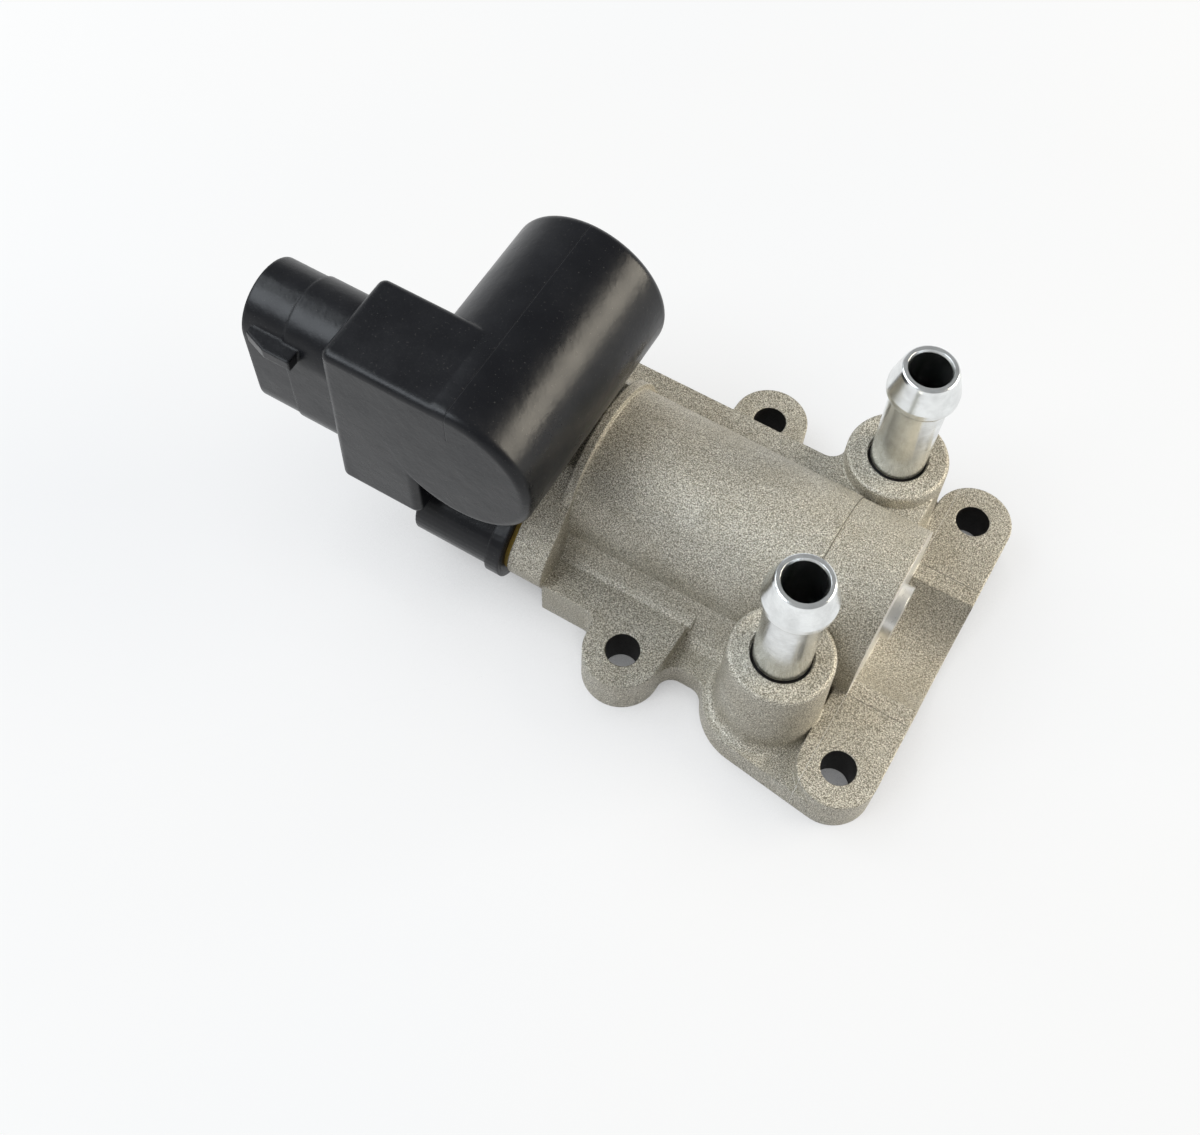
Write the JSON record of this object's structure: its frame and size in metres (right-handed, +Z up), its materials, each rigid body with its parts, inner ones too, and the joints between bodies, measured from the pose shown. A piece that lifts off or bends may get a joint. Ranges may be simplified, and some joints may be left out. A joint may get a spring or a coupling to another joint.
{
  "type": "idle air control valve",
  "caption": "Rotary-solenoid idle air control valve: cast body with bolt-on flange, barrel, coolant pipes, black coil and connector housing.",
  "frame": {"origin": "middle of the four bolt holes, on the mounting face of the flange", "axes": "+X along the valve axis from the connector to the closed end, +Y across the flange, +Z up away from the mounting face"},
  "size_m": [0.1095, 0.0616, 0.0486],
  "materials": {
    "cast": "sand cast",
    "zinc": "zinc plated",
    "steel": "ground",
    "rubber": "moulded",
    "bronze": "sintered",
    "valve_alloy": "machined",
    "bimetal": "rolled",
    "magnet": "sintered",
    "seal": "moulded",
    "black_plastic": "satin moulded",
    "bobbin_plastic": "moulded",
    "copper": "enamelled wire",
    "board": "coated",
    "tin": "tin plated"
  },
  "bodies": {
    "body": {"valve_body": "cast", "front_coolant_pipe": "zinc", "rear_coolant_pipe": "zinc", "flange_gasket": "rubber", "end_plug": "valve_alloy", "rear_bush": "bronze", "bearing_holder": "steel", "bearing_outer_race": "steel", "bearing_balls": "steel", "bimetal_holder": "steel", "bimetal_coil": "bimetal", "stop_guard": "steel", "solenoid_seal": "seal", "solenoid_housing": "black_plastic", "coil_bobbin": "bobbin_plastic", "copper_winding": "copper", "coil_core": "steel", "front_pole_piece": "steel", "rear_pole_piece": "steel", "driver_board": "board", "driver_chip": "black_plastic", "connector_terminals": "tin", "solenoid_screws": "zinc"},
    "rotor": {"valve_shaft": "steel", "rotary_valve": "valve_alloy", "stop_lever": "steel", "rotor_hub": "steel", "rotor_magnet": "magnet", "retaining_ring": "steel", "bearing_inner_race": "steel"}
  },
  "joints": [
    {"name": "valve_turn", "type": "hinge", "parent": "body", "child": "rotor", "pos_m": [0, 0, 0.014], "axis": [1, 0, 0], "range_deg": [-20, 25]}
  ]
}
